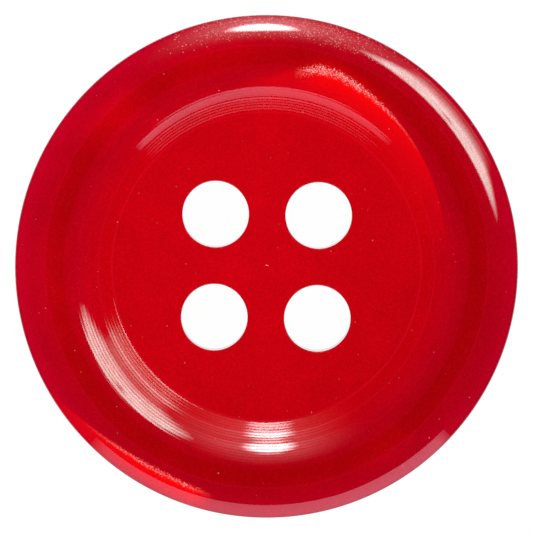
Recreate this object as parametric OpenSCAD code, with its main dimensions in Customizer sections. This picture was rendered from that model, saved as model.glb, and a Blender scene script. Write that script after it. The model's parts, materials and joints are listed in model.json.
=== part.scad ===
// Sew-through button with a rolled rim and a dished centre, turned from one blank of cast resin.
// It lies on its back: z = 0 is the back, +Z comes out of the face, and the rows of holes follow X and Y.
// Lengths are in millimetres and slopes in degrees from the horizontal.

/* [Blank] */
// Outside diameter
button_d = 20; // [17:0.5:26]
// Thickness from the back to the crest of the rim
button_t = 3.2; // [2.8:0.05:4.5]
// Radius that rounds the back into the side
back_r = 2; // [0.5:0.05:2.3]

/* [Rim] */
// Distance from the side in to the crest of the rim
crest_inset = 1.6; // [1.2:0.05:2]
// Radius of the roll from the crest out towards the side
outer_roll_r = 2.4; // [2.3:0.05:4]
// Radius that rounds the outer roll into the side
edge_r = 0.12; // [0.08:0.01:0.3]
// Radius of the roll from the crest in towards the dish
inner_roll_r = 1.95; // [1.2:0.05:2.1]
// Slope at which the inner roll runs into the flank of the dish
inner_roll_slope = 21; // [12:1:30]

/* [Dish] */
// Radius of the convex flank under the inner roll
flank_r = 4.1; // [2.6:0.1:6]
// Slope of the straight wall under the flank
wall_slope = 32.5; // [31:0.5:45]
// Width of the straight wall, seen from above
wall_w = 0.15; // [0.1:0.05:0.6]
// Slope of the foot between the wall and the flat floor
foot_slope = 30; // [20:0.5:30.5]
// Width of the foot, seen from above
foot_w = 0.64; // [0.3:0.02:1.2]

/* [Holes] */
// Diameter of each sewing hole
hole_d = 2.64; // [1.6:0.02:3]
// Distance between neighbouring holes, from centre to centre
hole_pitch = 4.1; // [3.4:0.05:5]
// Width of the bevel around both mouths of each hole
hole_bevel = 0.05; // [0.02:0.01:0.15]

/* [Hidden] */
$fn = 96;
// Length by which cuts run past the faces that they open
overrun = 0.5;
// Depth by which a curve of the section dips into the next one, so that the two cross instead of only touching
weld = 0.0001;
// Length by which a curve runs on past the place where it meets the next one
lap = 0.1;

button_r = button_d / 2;
crest_r = button_r - crest_inset;
edge_slope = asin((crest_inset - edge_r) / (outer_roll_r - edge_r));

// Centres of the section's arcs as [radius, height], each arc tangent to the one before it
outer_roll_at = [crest_r, button_t - outer_roll_r - weld];
edge_at = outer_roll_at + (outer_roll_r - edge_r) * face(-edge_slope) + [0, weld];
inner_roll_at = [crest_r, button_t - inner_roll_r];
flank_at = inner_roll_at - (flank_r - inner_roll_r) * face(inner_roll_slope) - [0, weld];

// Points of the section where one form ends and the next begins, from the rim down to the floor
edge_start = outer_roll_at + outer_roll_r * face(-edge_slope);
flank_start = inner_roll_at + inner_roll_r * face(inner_roll_slope);
wall_start = flank_at + flank_r * face(wall_slope) - [0, weld];
foot_start = wall_start - wall_w * [1, tan(wall_slope)];
floor_start = foot_start - foot_w * [1, tan(foot_slope)];
floor_z = floor_start[1];

button();

// Direction that the section faces where it falls towards the middle at a slope
function face(slope) = [-sin(slope), cos(slope)];

module button() {
    color([0.72, 0.02, 0.06])
        difference() {
            rotate_extrude()
                section();
            for (x = [-1, 1] * hole_pitch / 2, y = [-1, 1] * hole_pitch / 2)
                translate([x, y])
                    sewing_hole();
        }
}

// Half of the button cut through its axis
module section() {
    intersection() {
        below_face();
        above_back();
    }
}

// Everything below the face: the dished middle and the columns under the rim's arcs
module below_face() {
    polygon([
        [0, -overrun],
        [wall_start[0], -overrun],
        wall_start,
        foot_start,
        floor_start,
        [0, floor_z]
    ]);
    under_arc(flank_at, flank_r, wall_start[0] - lap, flank_start[0]);
    under_arc(inner_roll_at, inner_roll_r, flank_start[0] - lap, crest_r + lap);
    under_arc(outer_roll_at, outer_roll_r, crest_r, edge_start[0]);
    under_arc(edge_at, edge_r, edge_start[0] - lap, button_r);
}

// Column between two radii, topped by an arc
module under_arc(centre, arc_r, from_r, to_r) {
    intersection() {
        translate([from_r, -overrun])
            square([to_r - from_r, button_t + 2 * overrun]);
        union() {
            translate(centre)
                circle(arc_r);
            translate([0, -overrun])
                square([button_r, max(centre[1], 0) + overrun]);
        }
    }
}

// Everything above the back, which is flat and rounded into the side
module above_back() {
    square([button_r - back_r, button_t + overrun]);
    translate([0, back_r])
        square([button_r, button_t + overrun - back_r]);
    translate([button_r - back_r, back_r])
        circle(back_r);
}

// Cutter for one hole, flared at both mouths
module sewing_hole() {
    hole_r = hole_d / 2;
    flare_r = hole_r + hole_bevel + overrun;
    rotate_extrude()
        polygon([
            [0, -overrun],
            [flare_r, -overrun],
            [hole_r, hole_bevel],
            [hole_r, floor_z - hole_bevel],
            [flare_r, floor_z + overrun],
            [0, floor_z + overrun]
        ]);
}
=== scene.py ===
import json
import math
import random

import bpy
from mathutils import Euler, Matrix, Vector


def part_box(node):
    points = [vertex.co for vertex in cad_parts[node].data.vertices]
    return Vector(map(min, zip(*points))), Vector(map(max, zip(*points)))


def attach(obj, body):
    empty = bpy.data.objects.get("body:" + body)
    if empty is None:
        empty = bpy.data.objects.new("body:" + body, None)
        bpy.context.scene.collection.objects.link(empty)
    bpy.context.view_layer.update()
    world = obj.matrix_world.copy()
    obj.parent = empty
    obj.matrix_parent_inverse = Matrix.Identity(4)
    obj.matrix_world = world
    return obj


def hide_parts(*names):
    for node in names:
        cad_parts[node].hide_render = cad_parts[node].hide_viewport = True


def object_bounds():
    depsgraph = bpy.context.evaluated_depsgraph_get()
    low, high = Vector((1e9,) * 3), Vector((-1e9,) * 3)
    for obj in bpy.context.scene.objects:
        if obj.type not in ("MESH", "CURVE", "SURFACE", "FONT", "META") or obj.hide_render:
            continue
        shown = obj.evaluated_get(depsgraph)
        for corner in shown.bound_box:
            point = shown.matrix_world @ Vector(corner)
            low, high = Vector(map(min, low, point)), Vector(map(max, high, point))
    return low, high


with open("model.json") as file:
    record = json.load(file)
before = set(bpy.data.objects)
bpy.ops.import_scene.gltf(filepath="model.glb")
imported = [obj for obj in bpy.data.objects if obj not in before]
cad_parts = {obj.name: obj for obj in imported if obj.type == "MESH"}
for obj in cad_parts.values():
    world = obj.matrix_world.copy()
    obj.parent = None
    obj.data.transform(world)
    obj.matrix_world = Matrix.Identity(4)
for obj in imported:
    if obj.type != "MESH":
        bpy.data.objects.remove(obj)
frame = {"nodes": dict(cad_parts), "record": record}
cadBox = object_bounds()
print("frame loaded:", ", ".join(sorted(frame["nodes"])))

section = {  # metres, and slopes in degrees
    "crestInset": 0.0016,  # from the side in to the crest of the rim
    "outerRoll": 0.0024,  # radius from the crest out to the edge
    "edgeRound": 0.00012,
    "innerRoll": 0.00195,  # radius from the crest in to the flank
    "innerRollSlope": 21.0,
    "flank": 0.0041,
    "wallSlope": 32.5,
    "wallWidth": 0.00015,
    "footSlope": 30.0,
    "footWidth": 0.00064,
    "footFillet": 0.0003,
    "backRound": 0.002,
    "guardRing": 0.00006,  # keeps the shading of the flats flat
    "fineStep": 0.000011,  # spacing of the rings where the tool left marks
    "innerStep": 0.000022,
    "outerStep": 0.000016,
    "backStep": 0.00012,
    "segments": 256,
    "smoothAngle": 10.0,
}

toolMarks = {  # fine grooves that the tool left on the slope of the dish
    "seed": 11,
    "from": 0.0062,  # radii between which they lie
    "to": 0.0079,
    "pitch": 0.000107,
    "footTurn": 2.0,  # steepest turn off the true slope, in degrees
    "flankTurn": 1.2,
    "flankFrom": 0.007,
    "spread": (0.4, 1.2),  # shallowest and deepest groove, as shares
    "lineAt": 0.009775,  # the fine line near the edge
    "lineDepth": 0.0000014,
    "lineWidth": 0.00002,
}

centrePip = {  # the small mark that the lathe left in the middle
    "radius": 0.00007,
    "height": 0.000026,
    "ringShares": (0.35, 0.6, 0.8, 1.0),
    "bend": 1.5,
    "guardShare": 2.0,
}

lathe = {"startSize": 0.00004, "mergeDistance": 1e-7}


def facing(slope):  # where the section looks, falling inwards at a slope
    turn = math.radians(slope)
    return Vector((-math.sin(turn), math.cos(turn)))


def downhill(slope, width):
    return Vector((-width, -width * math.tan(math.radians(slope))))


def arcPoints(centre, radius, fromSlope, toSlope, step):
    count = max(2, math.ceil(abs(radius * math.radians(toSlope - fromSlope)) / step))
    slopes = [fromSlope + (toSlope - fromSlope) * i / count for i in range(count + 1)]
    return [centre + radius * facing(slope) for slope in slopes]


def linePoints(start, end, step):
    count = max(1, math.ceil((end - start).length / step))
    return [start.lerp(end, i / count) for i in range(count + 1)]


def pipPoints(floor):
    points = [Vector((0, floor + centrePip["height"]))]
    for share in centrePip["ringShares"]:
        lift = centrePip["height"] * (1 - share ** 2) ** centrePip["bend"]
        points.append(Vector((centrePip["radius"] * share, floor + lift)))
    points.append(Vector((centrePip["radius"] * centrePip["guardShare"], floor)))
    return points


def faceSection():  # from the middle of the floor out to the side, and the height of the floor
    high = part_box("button")[1]
    fine = section["fineStep"]
    innerSlope, wallSlope = section["innerRollSlope"], section["wallSlope"]
    crest = Vector((high.x - section["crestInset"], high.z))
    outerAt = crest - Vector((0, section["outerRoll"]))
    innerAt = crest - Vector((0, section["innerRoll"]))
    reach = section["crestInset"] - section["edgeRound"]
    edgeSlope = math.degrees(math.asin(reach / (section["outerRoll"] - section["edgeRound"])))
    edgeAt = outerAt + (section["outerRoll"] - section["edgeRound"]) * facing(-edgeSlope)
    flankAt = innerAt - (section["flank"] - section["innerRoll"]) * facing(innerSlope)
    wallTop = flankAt + section["flank"] * facing(wallSlope)
    footTop = wallTop + downhill(wallSlope, section["wallWidth"])
    crease = footTop + downhill(section["footSlope"], section["footWidth"])
    pull = section["footFillet"] * math.tan(math.radians(section["footSlope"] / 2))
    filletAt = crease + Vector((-pull, section["footFillet"]))
    fillet = arcPoints(filletAt, -section["footFillet"], 0, section["footSlope"], fine)
    path = pipPoints(crease.y)
    path.append(fillet[0] - Vector((section["guardRing"], 0)))
    path += fillet
    path += linePoints(fillet[-1], footTop, fine)[1:]
    path += linePoints(footTop, wallTop, fine)[1:]
    path += arcPoints(flankAt, section["flank"], wallSlope, innerSlope, fine)[1:]
    path += arcPoints(innerAt, section["innerRoll"], innerSlope, 0, section["innerStep"])[1:]
    path += arcPoints(outerAt, section["outerRoll"], 0, -edgeSlope, section["outerStep"])[1:]
    path += arcPoints(edgeAt, section["edgeRound"], -edgeSlope, -90, fine)[1:]
    return path, crease.y


def backSection():  # from the side in to the middle of the back
    low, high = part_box("button")
    roundAt = Vector((high.x - section["backRound"], low.z + section["backRound"]))
    path = arcPoints(roundAt, section["backRound"], -90, -180, section["backStep"])
    path.append(path[-1] - Vector((section["guardRing"], 0)))
    path.append(Vector((0, low.z)))
    return path


def grooveDepths():
    dice = random.Random(toolMarks["seed"])
    pitch = toolMarks["pitch"]
    depths = []
    for number in range(math.ceil((toolMarks["to"] - toolMarks["from"]) / pitch)):
        onFoot = toolMarks["from"] + number * pitch < toolMarks["flankFrom"]
        turn = toolMarks["footTurn"] if onFoot else toolMarks["flankTurn"]
        depths.append(pitch / math.pi * math.radians(turn) * dice.uniform(*toolMarks["spread"]))
    return depths


def toolRelief(path):
    depths = grooveDepths()
    marked = list(path)
    for i in range(1, len(path) - 1):
        radius = path[i].x
        along = (radius - toolMarks["from"]) / toolMarks["pitch"]
        offset = 0.0
        if 0 <= along < len(depths):
            offset = -depths[int(along)] * math.sin(math.pi * along) ** 2
        away = (radius - toolMarks["lineAt"]) / toolMarks["lineWidth"]
        offset -= toolMarks["lineDepth"] * math.exp(-away ** 2)
        run = (path[i + 1] - path[i - 1]).normalized()
        marked[i] = path[i] + Vector((-run.y, run.x)) * offset
    return marked


def turnPiece(name, path, segments):  # walks one point along the section, then spins it
    bpy.ops.object.select_all(action="DESELECT")
    bpy.ops.mesh.primitive_plane_add(size=lathe["startSize"], location=(0, 0, 0))
    piece = bpy.context.object
    piece.name = name
    bpy.ops.object.mode_set(mode="EDIT")
    bpy.ops.mesh.select_all(action="SELECT")
    bpy.ops.mesh.merge(type="CENTER")
    bpy.ops.transform.translate(value=(path[0].x, 0, path[0].y))
    for here, there in zip(path, path[1:]):
        move = (there.x - here.x, 0, there.y - here.y)
        bpy.ops.mesh.extrude_vertices_move(TRANSFORM_OT_translate={"value": move})
    bpy.ops.mesh.select_all(action="SELECT")
    bpy.ops.mesh.spin(steps=segments, angle=2 * math.pi, center=(0, 0, 0), axis=(0, 0, 1))
    bpy.ops.mesh.select_all(action="SELECT")
    bpy.ops.mesh.remove_doubles(threshold=lathe["mergeDistance"])
    bpy.ops.mesh.normals_make_consistent(inside=False)
    bpy.ops.object.mode_set(mode="OBJECT")
    return piece


facePath, floorHeight = faceSection()
buttonPath = toolRelief(facePath) + backSection()
button = turnPiece("pearlButton", buttonPath, section["segments"])
print("button turned:", len(buttonPath), "rings,", len(button.data.polygons), "faces")

holes = {"mouthRound": 0.00005, "mouthSteps": 4, "overrun": 0.0004, "segments": 96}


def holeSection(radius):
    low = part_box("button")[0]
    mouth, overrun = holes["mouthRound"], holes["overrun"]
    turns = [math.pi / 2 * i / holes["mouthSteps"] for i in range(holes["mouthSteps"] + 1)]
    front = [Vector((mouth * (1 - math.cos(t)), mouth * (1 - math.sin(t)))) for t in turns]
    upper = [Vector((radius + p.x, floorHeight - p.y)) for p in front]
    lower = [Vector((radius + p.x, low.z + p.y)) for p in reversed(front)]
    bottom = [Vector((0, -overrun)), Vector((radius + mouth, -overrun))]
    top = [Vector((radius + mouth, floorHeight + overrun)), Vector((0, floorHeight + overrun))]
    return bottom + lower + upper + top


bores = [mount for mount in frame["record"]["mounts"] if mount["kind"] == "bore"]
drill = turnPiece("drill", holeSection(bores[0]["dims"]["r_mm"] / 1000), holes["segments"])
drills = []
for bore in bores:
    bpy.ops.object.select_all(action="DESELECT")
    drill.select_set(True)
    bpy.context.view_layer.objects.active = drill
    bpy.ops.object.duplicate()
    bpy.ops.transform.translate(value=(bore["pos_m"][0], bore["pos_m"][1], 0))
    bpy.ops.object.transform_apply(location=True, rotation=False, scale=False)
    drills.append(bpy.context.object)
for cutter in drills:
    cut = button.modifiers.new("hole", "BOOLEAN")
    cut.operation = "DIFFERENCE"
    cut.solver = "EXACT"
    cut.object = cutter
    bpy.context.view_layer.objects.active = button
    bpy.ops.object.modifier_apply(modifier=cut.name)
for cutter in drills + [drill]:
    bpy.data.objects.remove(cutter)
bpy.ops.object.select_all(action="DESELECT")
button.select_set(True)
bpy.context.view_layer.objects.active = button
bpy.ops.object.shade_smooth_by_angle(angle=math.radians(section["smoothAngle"]))
print("holes drilled:", len(bores), "holes,", len(button.data.polygons), "faces")

resin = {  # lengths in millimetres
    "redsWithPaintedShade": (  # radius and colour, from the middle out to the edge; the darker band over the crest, 8.09 to 8.76, is painted shade where the crest reflects no light, and the faint blue, strongest out towards the edge, is a painted reflection of the dim surroundings
        (0.0, (0.600, 0.0003, 0.0058)),
        (3.0, (0.565, 0.0003, 0.0050)),
        (6.1, (0.560, 0.0003, 0.0048)),
        (6.35, (0.562, 0.0003, 0.0042)),
        (7.15, (0.530, 0.0003, 0.0075)),
        (7.6, (0.462, 0.0003, 0.0075)),
        (8.04, (0.415, 0.0003, 0.0054)),
        (8.09, (0.385, 0.0003, 0.0028)),
        (8.4, (0.390, 0.0003, 0.0027)),
        (8.76, (0.408, 0.0003, 0.0038)),
        (8.82, (0.428, 0.0003, 0.0070)),
        (9.3, (0.446, 0.0003, 0.0095)),
        (9.7, (0.490, 0.0003, 0.0130)),
        (9.84, (0.510, 0.0006, 0.0160)),
        (9.93, (0.430, 0.0006, 0.0150)),
    ),
    "reach": 10.0,  # radius at which the ramps end
    "deeperAt": 315.0,  # degrees, the side on which the red is a little deeper
    "deeper": 0.085,
    "cloudSize": 1.6,
    "cloudDetail": 5.0,
    "cloudRange": (0.3, 0.7),
    "cloudShare": 0.05,
    "grainShare": 0.1,
    "sparkShare": 0.3,  # how much brighter the few brightest grains are
    "sparkBend": 24.0,  # a higher power leaves fewer of them
    # painted light: the red of the glow where lamp light comes through the resin
    "paintedGlowRed": (1.0, 0.0015, 0.003),
    # the pink of the painted highlight lines on the rings
    "highlightPink": (0.78, 0.004, 0.024),
    "flakeSize": 0.036,
    "flakeTilt": 0.3,
    # pale pink of the real stray flakes, and of the painted glints along the glows and the rim
    "flakeAndGlintPink": (1.0, 0.45, 0.43),
    "flakeBend": 2.0,
    "flakeGlint": (0.15, 2.6),  # of the dullest and the brightest painted glint along a glow
    "strayFlakes": 0.0004,
    "strayShare": 0.55,
    "pearl": 0.015,
    "pearlRoughness": 0.2,
    "coatRoughness": 0.03,
    "coatIor": 1.54,
}

paintedGlows = {  # painted light: a red glow where lamp light comes through the resin, each beside an arc in the plane of the button, with painted glints of flakes along its edge
    "upperRight": {
        "centre": (-0.855, 0.598), "radius": 7.96, "side": -1,
        "soft": 0.05, "depth": 2.4, "bend": 1.9,  # how the glow starts at the arc and fades
        "rise": (6, 58), "fall": (73, 84), "tail": 0.36, "tailFall": (84, 103),  # bearings
        "ragged": ((45, 0.03), (68, 0.24)), "spill": 0.7,  # how grains break its edge
        "skirt": (0.5, 0.3),  # width and share of the faint glow outside the arc
        "brow": (0.27, 7.52), "browSoft": 0.7,  # slope and height of the line that ends it above
        "flakes": 0.56, "flakeRise": (36, 66), "flakeFall": (77, 83),
        "flakeBand": ((48, 0.07), (74, 0.22)), "flakeInset": ((60, 0.03), (80, 0.12)),
    },
    "lowerLeft": {
        "centre": (4.64, 9.03), "radius": 19.3, "side": 1,
        "soft": 0.06, "depth": 0.75, "bend": 1.0,
        "rise": (206, 237), "fall": (252, 259), "tail": 0.0, "tailFall": (259, 260),
        "ragged": ((228, 0.05), (245, 0.14)), "spill": 0.5,
        "skirt": (0.15, 0.1),
        "brow": (0.0, 99.0), "browSoft": 0.1,  # so high that it ends nothing
        "flakes": 0.34, "flakeRise": (220, 238), "flakeFall": (249, 258),
        "flakeBand": ((225, 0.08), (250, 0.12)), "flakeInset": ((225, 0.02), (250, 0.04)),
    },
}

swirls = {  # softer stirrings of the pearl along the rim: bearing and half span in degrees, and share
    "upperLeft": (136, 14, 0.30),
    "upper": (106, 30, 0.17),
    "left": (188, 24, 0.13),
    "lowerRight": (304, 14, 0.13),
}
swirlRing = (7.5, 8.15, 8.7, 9.6)  # millimetres, where they fade in and out

rimPaintedGlints = {  # painted glints: more pale flakes along the top of the rim, beside the key lamp's reflection, in degrees and millimetres
    "bearing": 85.0,
    "spans": (8, 34),  # all within the first, none past the second
    "ring": (9.0, 9.35),
    "share": 0.17,
}

paintedHighlightRings = {  # painted highlights: paler lines on the rings where one cut of the tool met the next and the ridge catches the lamps, in millimetres
    "floorEdge": {"radius": 6.15, "width": 0.06, "share": 0.32},
    "footTop": {"radius": 6.69, "width": 0.045, "share": 0.24},
    "flankLine": {"radius": 7.5, "width": 0.05, "share": 0.1},
    "rollEdge": {"radius": 8.8, "width": 0.05, "share": 0.12},
}

polish = {  # lengths in millimetres
    "stops": (  # radius, and how much of the gloss the tool leaves there
        (6.1, 1.0),
        (6.22, 0.95),
        (6.25, 0.38),
        (6.4, 0.42),
        (6.62, 0.46),
        (6.65, 1.0),
        (6.69, 1.0),
        (6.74, 0.7),
        (6.88, 0.85),
        (7.0, 0.97),
        (7.12, 1.0),
    ),
    "pitch": 0.107,
    "breaks": 2.0,  # how often the grooves change around the button
    "breakDetail": 2.0,
    "breakRange": (0.3, 0.65),
    "breakShares": (0.35, 1.0),  # of the weakest and the strongest stretch
    "footShare": 0.85,
    "flankShare": 0.72,
    "flankFrom": (6.8, 7.2),
    "ringsFrom": 6.2,
    "ringsTo": 7.8,
    "dust": (0.1, 0.28),  # in the dish and on the rim
    "dustFrom": (8.6, 9.2),
    "dustBend": 3.0,
    "dullAt": (7.01, 250.0),  # the stretch that was polished least: radius and bearing
    "dullRing": (0.03, 0.1),  # how far from there it is dull, and where that ends
    "dullSpan": (55.0, 80.0),
    "dullShare": 0.42,
    "cleanShare": 0.35,  # how much of the grooves shows on the other side
}

nodeSheet = {"rows": 10, "across": 220, "down": 170}  # how the nodes are laid out


def addNode(tree, kind, **values):
    column, row = divmod(len(tree.nodes), nodeSheet["rows"])
    node = tree.nodes.new(kind)
    node.location = (column * nodeSheet["across"], -row * nodeSheet["down"])
    for key, value in values.items():
        setattr(node, key, value)
    return node


def remap(tree, value, fromRange, toRange, smooth=False):
    node = addNode(tree, "ShaderNodeMapRange")
    node.interpolation_type = "SMOOTHSTEP" if smooth else "LINEAR"
    node.inputs["From Min"].default_value, node.inputs["From Max"].default_value = fromRange
    node.inputs["To Min"].default_value, node.inputs["To Max"].default_value = toRange
    tree.links.new(value, node.inputs["Value"])
    return node.outputs["Result"]


def between(tree, value, ends):  # from one place and share to another
    (fromAt, fromShare), (toAt, toShare) = ends
    return remap(tree, value, (fromAt, toAt), (fromShare, toShare))


def combine(tree, operation, first, second=0.0):
    node = addNode(tree, "ShaderNodeMath", operation=operation)
    for socket, value in zip(node.inputs, (first, second)):
        if isinstance(value, (int, float)):
            socket.default_value = value
        else:
            tree.links.new(value, socket)
    return node.outputs["Value"]


def times(tree, product, *factors):
    for factor in factors:
        product = combine(tree, "MULTIPLY", product, factor)
    return product


def offFrom(tree, value, at):
    return combine(tree, "ABSOLUTE", combine(tree, "SUBTRACT", value, at))


def rootOfSquares(tree, first, second):
    squares = [times(tree, value, value) for value in (first, second)]
    return combine(tree, "POWER", combine(tree, "ADD", *squares), 0.5)


def tint(tree, share, first, second):
    node = addNode(tree, "ShaderNodeMix", data_type="RGBA")
    tree.links.new(share, node.inputs["Factor"])
    for socket, value in zip((node.inputs[6], node.inputs[7]), (first, second)):
        if isinstance(value, tuple):
            socket.default_value = value + (1.0,)
        else:
            tree.links.new(value, socket)
    return node.outputs[2]


def ringRamp(tree, radius, stops):
    ramp = addNode(tree, "ShaderNodeValToRGB")
    marks = ramp.color_ramp.elements
    while len(marks) < len(stops):
        marks.new(0.5)
    for mark, (at, colour) in zip(marks, stops):
        mark.position = at / resin["reach"]
        mark.color = (*colour, 1.0) if isinstance(colour, tuple) else (colour, colour, colour, 1.0)
    tree.links.new(combine(tree, "DIVIDE", radius, resin["reach"]), ramp.inputs["Fac"])
    return ramp.outputs["Color"]


def whereOnButton(tree):  # millimetres, radians and degrees, and the dice of each flake
    coords = addNode(tree, "ShaderNodeTexCoord")
    inMillimetres = addNode(tree, "ShaderNodeMapping")
    inMillimetres.inputs["Scale"].default_value = (1000, 1000, 1000)
    tree.links.new(coords.outputs["Object"], inMillimetres.inputs["Vector"])
    spot = inMillimetres.outputs["Vector"]
    apart = addNode(tree, "ShaderNodeSeparateXYZ")
    tree.links.new(spot, apart.inputs["Vector"])
    x, y = apart.outputs["X"], apart.outputs["Y"]
    turn = combine(tree, "ARCTAN2", y, x)
    flakes = addNode(tree, "ShaderNodeTexVoronoi")
    flakes.inputs["Scale"].default_value = 1 / resin["flakeSize"]
    tree.links.new(spot, flakes.inputs["Vector"])
    dice = addNode(tree, "ShaderNodeSeparateColor")
    tree.links.new(flakes.outputs["Color"], dice.inputs["Color"])
    return {
        "spot": spot,
        "x": x,
        "y": y,
        "radius": rootOfSquares(tree, x, y),
        "turn": turn,
        "bearing": combine(tree, "FLOORED_MODULO", times(tree, turn, 180 / math.pi), 360.0),
        "flakeColour": flakes.outputs["Color"],
        "strayDice": dice.outputs["Red"],
        "grainDice": dice.outputs["Green"],
        "glintDice": dice.outputs["Blue"],
    }


def deepRed(tree, here):  # follows the section, with painted shade over the crest and a painted reflection in its blue, faint clouds, soft swirls and a fine grain
    clouds = addNode(tree, "ShaderNodeTexNoise")
    clouds.inputs["Scale"].default_value = 1 / resin["cloudSize"]
    clouds.inputs["Detail"].default_value = resin["cloudDetail"]
    tree.links.new(here["spot"], clouds.inputs["Vector"])
    cloudSpread = (1 - resin["cloudShare"], 1 + resin["cloudShare"])
    cloudy = remap(tree, clouds.outputs["Fac"], resin["cloudRange"], cloudSpread)

    grainSpread = (1 - resin["grainShare"], 1 + resin["grainShare"])
    evenGrain = remap(tree, here["grainDice"], (0, 1), grainSpread)
    spark = combine(tree, "POWER", here["grainDice"], resin["sparkBend"])
    grain = combine(tree, "ADD", evenGrain, times(tree, spark, resin["sparkShare"]))

    lean = math.radians(resin["deeperAt"])
    leanX, leanY = times(tree, here["x"], math.cos(lean)), times(tree, here["y"], math.sin(lean))
    towards = combine(tree, "ADD", leanX, leanY)
    leanSpread = (1 + resin["deeper"], 1 - resin["deeper"])
    leaning = remap(tree, towards, (-resin["reach"], resin["reach"]), leanSpread)

    stirred = 1.0
    for at, span, share in swirls.values():
        stir = remap(tree, offFrom(tree, here["bearing"], at), (0, span), (share, 0), True)
        stirred = combine(tree, "ADD", stir, stirred)
    inner = remap(tree, here["radius"], swirlRing[:2], (0, 1), True)
    outer = remap(tree, here["radius"], swirlRing[2:], (1, 0), True)
    swirl = combine(tree, "POWER", stirred, times(tree, inner, outer))

    clouded = addNode(tree, "ShaderNodeVectorMath", operation="SCALE")
    tree.links.new(ringRamp(tree, here["radius"], resin["redsWithPaintedShade"]), clouded.inputs["Vector"])
    tree.links.new(times(tree, cloudy, grain, leaning, swirl), clouded.inputs["Scale"])
    return clouded.outputs["Vector"]


# painted highlights: pale lines on the rings where the ridges between cuts catch the lamps
def withPaintedHighlightRings(tree, here, colour):
    for line in paintedHighlightRings.values():
        away = offFrom(tree, here["radius"], line["radius"])
        pale = remap(tree, away, (0, line["width"]), (line["share"], 0), True)
        colour = tint(tree, pale, colour, resin["highlightPink"])
    return colour


def insidePaintedGlow(tree, here, glowArc):  # how far a spot lies inside the arc and under the brow
    off = addNode(tree, "ShaderNodeVectorMath", operation="MULTIPLY_ADD")
    off.inputs[1].default_value = (1, 1, 0)
    off.inputs[2].default_value = (-glowArc["centre"][0], -glowArc["centre"][1], 0)
    tree.links.new(here["spot"], off.inputs[0])
    length = addNode(tree, "ShaderNodeVectorMath", operation="LENGTH")
    tree.links.new(off.outputs["Vector"], length.inputs[0])
    past = combine(tree, "SUBTRACT", length.outputs["Value"], glowArc["radius"])
    slope, height = glowArc["brow"]
    under = addNode(tree, "ShaderNodeVectorMath", operation="DOT_PRODUCT")
    under.inputs[1].default_value = (slope, -1, 0)
    tree.links.new(here["spot"], under.inputs[0])
    inside = addNode(tree, "ShaderNodeMath", operation="SMOOTH_MIN")
    inside.inputs[2].default_value = glowArc["browSoft"]
    tree.links.new(times(tree, past, glowArc["side"]), inside.inputs[0])
    tree.links.new(combine(tree, "ADD", under.outputs["Value"], height), inside.inputs[1])
    return inside.outputs["Value"]


def paintedGlowMasks(tree, here, glowArc):  # painted light: the glow beside an arc, and the painted glints of flakes along it
    bearing = here["bearing"]
    jitter = between(tree, bearing, glowArc["ragged"])
    shake = times(tree, jitter, combine(tree, "SUBTRACT", here["grainDice"], glowArc["spill"]))
    inwards = combine(tree, "SUBTRACT", insidePaintedGlow(tree, here, glowArc), shake)
    edge = remap(tree, inwards, (-glowArc["soft"], glowArc["soft"]), (0, 1), True)
    sown = remap(tree, bearing, glowArc["flakeRise"], (0, 1), True)

    pastJitter = combine(tree, "SUBTRACT", inwards, jitter)
    fade = combine(tree, "POWER", remap(tree, pastJitter, (0, glowArc["depth"]), (1, 0)), glowArc["bend"])
    skirtWidth, skirtShare = glowArc["skirt"]
    skirt = remap(tree, inwards, (-skirtWidth, 0), (0, skirtShare), True)
    beside = combine(tree, "MAXIMUM", edge, times(tree, skirt, sown))
    rise = remap(tree, bearing, glowArc["rise"], (0, 1))
    fall = remap(tree, bearing, glowArc["fall"], (1, glowArc["tail"]), True)
    tail = remap(tree, bearing, glowArc["tailFall"], (1, 0), True)
    glow = times(tree, beside, fade, rise, fall, tail)

    away = offFrom(tree, inwards, between(tree, bearing, glowArc["flakeInset"]))
    across = combine(tree, "DIVIDE", away, between(tree, bearing, glowArc["flakeBand"]))
    band = remap(tree, across, (0, 1), (glowArc["flakes"], 0), True)
    spent = remap(tree, bearing, glowArc["flakeFall"], (1, 0), True)
    return glow, times(tree, band, sown, spent, edge)


def withPaintedGlowAndFlakes(tree, here, colour):  # painted light: a red glow beside arcs and painted glints of flakes, with the real stray pale flakes
    # painted glints crowd the top of the rim beside the key lamp's reflection
    fromTop = offFrom(tree, here["bearing"], rimPaintedGlints["bearing"])
    crowd = remap(tree, fromTop, rimPaintedGlints["spans"], (rimPaintedGlints["share"], 0), True)
    onRim = remap(tree, here["radius"], rimPaintedGlints["ring"], (0, 1), True)
    limit = combine(tree, "SUBTRACT", 1 - resin["strayFlakes"], times(tree, crowd, onRim))
    stray = combine(tree, "GREATER_THAN", here["strayDice"], limit)
    paleFlakesAndGlints = times(tree, stray, resin["strayShare"], here["glintDice"])
    bright = combine(tree, "POWER", here["glintDice"], resin["flakeBend"])
    glint = remap(tree, bright, (0, 1), resin["flakeGlint"])
    for glowArc in paintedGlows.values():
        # painted light: the glow beside each arc, and the painted glints of its flakes
        glow, flakes = paintedGlowMasks(tree, here, glowArc)
        colour = tint(tree, glow, colour, resin["paintedGlowRed"])
        paleFlakesAndGlints = combine(tree, "MAXIMUM", paleFlakesAndGlints, times(tree, flakes, glint))
    return tint(tree, combine(tree, "MINIMUM", paleFlakesAndGlints, 1.0), colour, resin["flakeAndGlintPink"])


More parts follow.
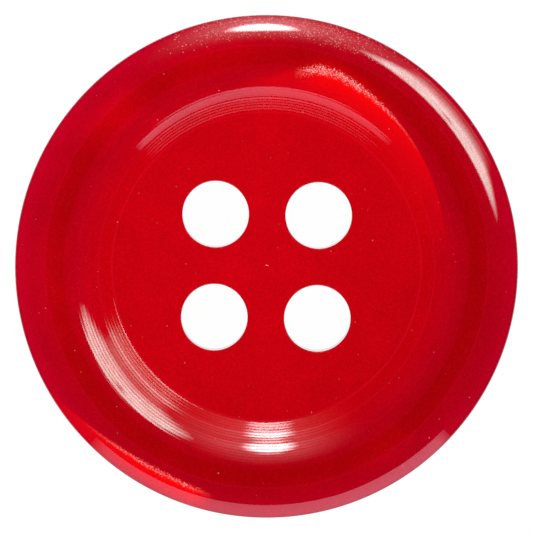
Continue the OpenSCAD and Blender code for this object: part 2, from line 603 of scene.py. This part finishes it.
def grooveStrength(tree, here):  # changes from groove to groove and around the button
    around = addNode(tree, "ShaderNodeCombineXYZ")
    for axis, wave in (("X", "COSINE"), ("Y", "SINE")):
        tree.links.new(times(tree, combine(tree, wave, here["turn"]), polish["breaks"]), around.inputs[axis])
    tree.links.new(combine(tree, "DIVIDE", here["radius"], polish["pitch"] * 2), around.inputs["Z"])
    rings = addNode(tree, "ShaderNodeTexNoise")
    rings.inputs["Scale"].default_value = 1.0
    rings.inputs["Detail"].default_value = polish["breakDetail"]
    tree.links.new(around.outputs["Vector"], rings.inputs["Vector"])
    return remap(tree, rings.outputs["Fac"], polish["breakRange"], polish["breakShares"])


def glossShare(tree, here):  # the tool marks break the gloss on the slope of the dish
    radius = here["radius"]
    dullRadius, dullBearing = polish["dullAt"]
    offRing = offFrom(tree, radius, dullRadius)
    offSide = offFrom(tree, here["bearing"], dullBearing)
    nearRing = remap(tree, offRing, polish["dullRing"], (polish["dullShare"], 0), True)
    nearSide = remap(tree, offSide, polish["dullSpan"], (1, 0), True)
    stops = ringRamp(tree, radius, polish["stops"])
    gloss = combine(tree, "SUBTRACT", stops, times(tree, nearRing, nearSide))

    fromFirst = combine(tree, "SUBTRACT", radius, polish["ringsFrom"])
    wave = combine(tree, "COSINE", times(tree, fromFirst, 2 * math.pi / polish["pitch"]))
    crest = remap(tree, wave, (-1, 1), (0, 1))
    depth = remap(tree, radius, polish["flankFrom"], (polish["footShare"], polish["flankShare"]))
    pastFirst = combine(tree, "GREATER_THAN", radius, polish["ringsFrom"])
    beforeLast = combine(tree, "LESS_THAN", radius, polish["ringsTo"])
    shown = remap(tree, nearSide, (0, 1), (polish["cleanShare"], 1))
    groove = times(tree, crest, grooveStrength(tree, here), depth, pastFirst, beforeLast, shown)
    worn = combine(tree, "SUBTRACT", 1.0, groove)

    dust = remap(tree, radius, polish["dustFrom"], polish["dust"])
    specks = combine(tree, "POWER", here["glintDice"], polish["dustBend"])
    clean = combine(tree, "SUBTRACT", 1.0, times(tree, dust, specks))
    return times(tree, gloss, worn, clean)


def askewNormal(tree, here):  # each flake lies a little askew
    lean = resin["flakeTilt"]
    geometry = addNode(tree, "ShaderNodeNewGeometry")
    tilt = addNode(tree, "ShaderNodeVectorMath", operation="MULTIPLY_ADD")
    tilt.inputs[1].default_value = (lean, lean, 0.0)
    tilt.inputs[2].default_value = (-lean / 2, -lean / 2, 0.0)
    tree.links.new(here["flakeColour"], tilt.inputs[0])
    tilted = addNode(tree, "ShaderNodeVectorMath", operation="ADD")
    tree.links.new(geometry.outputs["Normal"], tilted.inputs[0])
    tree.links.new(tilt.outputs["Vector"], tilted.inputs[1])
    unit = addNode(tree, "ShaderNodeVectorMath", operation="NORMALIZE")
    tree.links.new(tilted.outputs["Vector"], unit.inputs[0])
    return unit.outputs["Vector"]


def resinMaterial():
    material = bpy.data.materials.new("redPearlResin")
    material.use_nodes = True
    tree = material.node_tree
    tree.nodes.clear()
    out = addNode(tree, "ShaderNodeOutputMaterial")
    shader = addNode(tree, "ShaderNodeBsdfPrincipled")
    tree.links.new(shader.outputs["BSDF"], out.inputs["Surface"])
    shader.inputs["Metallic"].default_value = resin["pearl"]
    shader.inputs["Roughness"].default_value = resin["pearlRoughness"]
    shader.inputs["Specular IOR Level"].default_value = 0.0
    shader.inputs["Coat Roughness"].default_value = resin["coatRoughness"]
    shader.inputs["Coat IOR"].default_value = resin["coatIor"]
    here = whereOnButton(tree)
    lined = withPaintedHighlightRings(tree, here, deepRed(tree, here))
    tree.links.new(withPaintedGlowAndFlakes(tree, here, lined), shader.inputs["Base Color"])
    tree.links.new(glossShare(tree, here), shader.inputs["Coat Weight"])
    tree.links.new(askewNormal(tree, here), shader.inputs["Normal"])
    return material


button.data.materials.clear()
button.data.materials.append(resinMaterial())
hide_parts("button")
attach(button, "root")
print("resin mixed")

tableLook = {"size": 3.0, "drop": 0.00002, "glow": 0.975, "grey": 0.045, "bounce": 0.8}


def tableMaterial():  # white to the eye and in gloss, with a share that takes the shadow
    material = bpy.data.materials.new("whiteTable")
    material.use_nodes = True
    tree = material.node_tree
    tree.nodes.clear()
    join = tree.links.new
    out = addNode(tree, "ShaderNodeOutputMaterial")
    shadowed = addNode(tree, "ShaderNodeBsdfDiffuse")
    shadowed.inputs["Color"].default_value = (tableLook["grey"],) * 3 + (1,)
    glow = addNode(tree, "ShaderNodeEmission")
    glow.inputs["Strength"].default_value = tableLook["glow"]
    seen = addNode(tree, "ShaderNodeAddShader")
    join(shadowed.outputs["BSDF"], seen.inputs[0])
    join(glow.outputs["Emission"], seen.inputs[1])
    matte = addNode(tree, "ShaderNodeBsdfDiffuse")
    matte.inputs["Color"].default_value = (tableLook["bounce"],) * 3 + (1,)
    rays = addNode(tree, "ShaderNodeLightPath").outputs
    glossy = combine(tree, "MAXIMUM", rays["Is Glossy Ray"], rays["Is Transmission Ray"])
    direct = combine(tree, "MAXIMUM", rays["Is Camera Ray"], glossy)
    choose = addNode(tree, "ShaderNodeMixShader")
    join(direct, choose.inputs["Fac"])
    join(matte.outputs["BSDF"], choose.inputs[1])
    join(seen.outputs["Shader"], choose.inputs[2])
    join(choose.outputs["Shader"], out.inputs["Surface"])
    return material


bpy.ops.object.select_all(action="DESELECT")
bpy.ops.mesh.primitive_plane_add(size=tableLook["size"], location=(0, 0, -tableLook["drop"]))
table = bpy.context.object
table.name = "table"
table.data.materials.append(tableMaterial())
print("table laid")

lampDistance = 1.5
lamps = {  # degrees, as the button sees them: bearing from +X, angle from straight up, and spans
    "keyLamp": {
        "bearing": 91.7, "fromTop": 55.2, "wide": 17.0, "tall": 18.6,
        "radiance": 30.0, "colour": (1.0, 1.0, 1.0), "shape": "ELLIPSE",
        "fade": {"edge": (0.4, 1.0)},
    },
    "keyHaze": {
        "bearing": 91.7, "fromTop": 61.6, "wide": 60.0, "tall": 76.0,
        "radiance": 4.7, "colour": (1.0, 1.0, 1.0), "shape": "ELLIPSE",
        "fade": {"bend": 2.7},
    },
    "fillHaze": {
        "bearing": 65.0, "fromTop": 61.0, "wide": 48.0, "tall": 42.0,
        "radiance": 0.7, "colour": (1.0, 1.0, 1.0), "shape": "ELLIPSE",
        "fade": {"bend": 1.0},
    },
    "softbox": {  # shares of its width and height
        "bearing": 38.5, "fromTop": 55.2, "wide": 42.0, "tall": 48.0,
        "radiance": 12.9, "colour": (0.72, 1.0, 0.93), "shape": "RECTANGLE",
        "fade": {
            "arch": {
                "half": 0.44, "footHalf": 0.285, "taper": 0.3,
                "spring": 0.69, "crown": 0.165, "soft": 0.26,
            },
            "foot": {"low": 0.02, "high": 0.565, "bend": 2.6},
            "hub": {"x": 0.5, "y": 0.712, "size": 0.06, "share": 0.65},
            "mottle": {"scale": 9.0, "range": (0.35, 0.65), "share": 0.12},
        },
    },
}
boards = {  # stand in an arc before the button; pairs are for the left and the right end
    "leftBoard": {"bearing": 242, "radiance": (1.75, 2.4), "tops": (0.86, 0.995), "end": (-0.06, 0.16)},
    "middleBoard": {"bearing": 272, "radiance": (2.4, 2.9), "tops": (0.995, 0.995), "end": None},
    "rightBoard": {"bearing": 302, "radiance": (2.9, 3.15), "tops": (0.995, 0.9), "end": (1.06, 0.86)},
}
boardLook = {
    "distance": 0.13,
    "height": 0.0838,
    "span": 30.0,
    "topSoft": (-0.015, 0.005),
    "colour": (1.0, 0.58, 0.76),
}


def areaLight(name, place, aim, size, look):
    bpy.ops.object.select_all(action="DESELECT")
    bpy.ops.object.light_add(type="AREA", location=place)
    light = bpy.context.object
    light.name = name
    light.rotation_euler = aim.to_track_quat("Z", "Y").to_euler()
    light.visible_camera = False
    light.visible_diffuse = False  # it shows in the gloss, and the sky lights the body
    light.data.shape = look["shape"]
    light.data.size, light.data.size_y = size
    cover = math.pi / 4 if look["shape"] == "ELLIPSE" else 1.0
    light.data.energy = math.pi * size[0] * size[1] * cover * look["radiance"]
    light.data.color = look["colour"]
    fadeLight(light, look["fade"])


def archShare(tree, across, up, arch):  # round at the top and straight at the sides
    spring = arch["spring"]
    half = remap(tree, up, (spring - arch["taper"], spring), (arch["footHalf"], arch["half"]))
    sideways = combine(tree, "DIVIDE", combine(tree, "SUBTRACT", across, 0.5), half)
    upwards = remap(tree, up, (spring, spring + 2 * arch["crown"]), (0, 2))
    reach = rootOfSquares(tree, sideways, upwards)
    return remap(tree, reach, (1 - arch["soft"], 1 + arch["soft"]), (1, 0), True)


def mottleShare(tree, face, mottle):
    noise = addNode(tree, "ShaderNodeTexNoise")
    noise.inputs["Scale"].default_value = mottle["scale"]
    tree.links.new(face, noise.inputs["Vector"])
    return remap(tree, noise.outputs["Fac"], mottle["range"], (1 - mottle["share"], 1 + mottle["share"]))


def fadeLight(light, fade):  # how the lamp dims over its face
    light.data.use_nodes = True
    tree = light.data.node_tree
    emission = next(node for node in tree.nodes if node.type == "EMISSION")
    face = addNode(tree, "ShaderNodeNewGeometry").outputs["Parametric"]
    apart = addNode(tree, "ShaderNodeSeparateXYZ")
    tree.links.new(face, apart.inputs["Vector"])
    across, up = apart.outputs["X"], apart.outputs["Y"]

    def awayFrom(x, y):
        return rootOfSquares(tree, combine(tree, "SUBTRACT", across, x), combine(tree, "SUBTRACT", up, y))

    shares = []
    if "edge" in fade:
        bright, dark = fade["edge"]
        shares.append(remap(tree, awayFrom(0.5, 0.5), (bright / 2, dark / 2), (1, 0), True))
    if "bend" in fade:
        cone = remap(tree, awayFrom(0.5, 0.5), (0, 0.5), (1, 0))
        shares.append(combine(tree, "POWER", cone, fade["bend"]))
    if "arch" in fade:
        shares.append(archShare(tree, across, up, fade["arch"]))
    if "foot" in fade:
        foot = fade["foot"]
        climb = remap(tree, up, (foot["low"], foot["high"]), (0, 1))
        shares.append(combine(tree, "POWER", climb, foot["bend"]))
    if "hub" in fade:
        hub = fade["hub"]
        offHub = awayFrom(hub["x"], hub["y"])
        shares.append(remap(tree, offHub, (0, hub["size"]), (1 - hub["share"], 1), True))
    if "mottle" in fade:
        shares.append(mottleShare(tree, face, fade["mottle"]))
    if "sides" in fade:
        shares.append(remap(tree, across, (0, 1), fade["sides"]))
    if "end" in fade:
        shares.append(remap(tree, across, fade["end"], (0, 1), True))
    if "tops" in fade:  # a top edge that slopes
        under = combine(tree, "SUBTRACT", up, remap(tree, across, (0, 1), fade["tops"]))
        shares.append(remap(tree, under, fade["topSoft"], (1, 0), True))
    tree.links.new(times(tree, *shares), emission.inputs["Strength"])


def fromPolar(bearing, fromTop):
    b, t = math.radians(bearing), math.radians(fromTop)
    return Vector((math.sin(t) * math.cos(b), math.sin(t) * math.sin(b), math.cos(t)))


def spanAt(distance, degrees):
    return 2 * distance * math.tan(math.radians(degrees / 2))


low, high = cadBox
crestMiddle = Vector((0, 0, high.z))
for name, lamp in lamps.items():
    aim = fromPolar(lamp["bearing"], lamp["fromTop"])
    size = (spanAt(lampDistance, lamp["wide"]), spanAt(lampDistance, lamp["tall"]))
    areaLight(name, crestMiddle + lampDistance * aim, aim, size, lamp)
for name, board in boards.items():
    aim = fromPolar(board["bearing"], 90)
    place = boardLook["distance"] * aim + Vector((0, 0, boardLook["height"] / 2))
    size = (spanAt(boardLook["distance"], boardLook["span"]), boardLook["height"])
    left, right = board["radiance"]
    fade = {"sides": (left / right, 1.0), "tops": board["tops"], "topSoft": boardLook["topSoft"]}
    if board["end"]:
        fade["end"] = board["end"]
    look = {"radiance": right, "colour": boardLook["colour"], "shape": "RECTANGLE", "fade": fade}
    areaLight(name, place, aim, size, look)

worldLight = {"around": 1.1, "seen": 1.0}
world = bpy.data.worlds.new("studio")
bpy.context.scene.world = world
world.use_nodes = True
sky = world.node_tree
sky.nodes.clear()
skyOut = addNode(sky, "ShaderNodeOutputWorld")
pick = addNode(sky, "ShaderNodeMixShader")
rays = addNode(sky, "ShaderNodeLightPath").outputs
sky.links.new(rays["Is Camera Ray"], pick.inputs["Fac"])
for slot, strength in ((1, worldLight["around"]), (2, worldLight["seen"])):
    background = addNode(sky, "ShaderNodeBackground")
    background.inputs["Strength"].default_value = strength
    background.inputs["Color"].default_value = (1, 1, 1, 1)
    sky.links.new(background.outputs["Background"], pick.inputs[slot])
sky.links.new(pick.outputs["Shader"], skyOut.inputs["Surface"])
world.cycles_visibility.glossy = False
print("lights set")

eyePiece = {  # metres, degrees, and pixels of the photograph
    "distance": 0.4,
    "tilt": 1.6,
    "roll": 0.77,
    "sensor": 36.0,
    "pictureWidth": 533,
    "outlineRadius": 251.47,
    "aimHeight": 0.0025,
    "clip": (0.01, 10),
}
turn = Euler((-math.radians(eyePiece["tilt"]), 0, math.radians(eyePiece["roll"])))
backwards = turn.to_matrix() @ Vector((0, 0, 1))
place = Vector((0, 0, eyePiece["aimHeight"])) + eyePiece["distance"] * backwards
bpy.ops.object.camera_add(location=place, rotation=turn)
camera = bpy.context.object
seenWidth = (high.x - low.x) / 2 * eyePiece["pictureWidth"] / eyePiece["outlineRadius"]
camera.data.sensor_width = eyePiece["sensor"]
camera.data.lens = eyePiece["sensor"] * eyePiece["distance"] / seenWidth
camera.data.clip_start, camera.data.clip_end = eyePiece["clip"]
bpy.context.scene.camera = camera
bpy.context.scene.view_settings.view_transform = "Standard"
print("camera placed")
